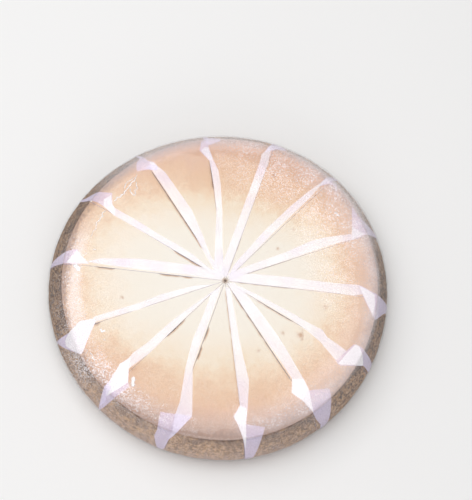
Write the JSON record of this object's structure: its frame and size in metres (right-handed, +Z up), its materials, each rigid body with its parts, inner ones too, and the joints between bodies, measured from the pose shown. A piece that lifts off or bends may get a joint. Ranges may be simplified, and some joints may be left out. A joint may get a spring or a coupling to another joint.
{
  "type": "cheesecake",
  "caption": "Whole round baked cheesecake on a crumb crust, cut into equal slices with a folded paper sheet in each cut, under tight clear film.",
  "frame": {"origin": "on the cake's axis, at the surface it stands on", "axes": "+Z up through the cake; the first cut runs along +X, and the cuts follow counter-clockwise"},
  "size_m": [0.257, 0.2567, 0.0435],
  "materials": {
    "filling": "baked cream cheese, pale ivory with a tan rim, satin",
    "crust": "biscuit crumb, grainy, matt",
    "paper": "white glassine paper, thin, satin, lets some light through",
    "film": "clear shrink film, glossy, slightly crinkled"
  },
  "bodies": {
    "root": {"filling_01": "filling", "filling_02": "filling", "filling_03": "filling", "filling_04": "filling", "filling_05": "filling", "filling_06": "filling", "filling_07": "filling", "filling_08": "filling", "filling_09": "filling", "filling_10": "filling", "filling_11": "filling", "filling_12": "filling", "filling_13": "filling", "filling_14": "filling", "crust_01": "crust", "crust_02": "crust", "crust_03": "crust", "crust_04": "crust", "crust_05": "crust", "crust_06": "crust", "crust_07": "crust", "crust_08": "crust", "crust_09": "crust", "crust_10": "crust", "crust_11": "crust", "crust_12": "crust", "crust_13": "crust", "crust_14": "crust", "paper_01": "paper", "paper_02": "paper", "paper_03": "paper", "paper_04": "paper", "paper_05": "paper", "paper_06": "paper", "paper_07": "paper", "paper_08": "paper", "paper_09": "paper", "paper_10": "paper", "paper_11": "paper", "paper_12": "paper", "paper_13": "paper", "paper_14": "paper", "film": "film"}
  },
  "joints": []
}
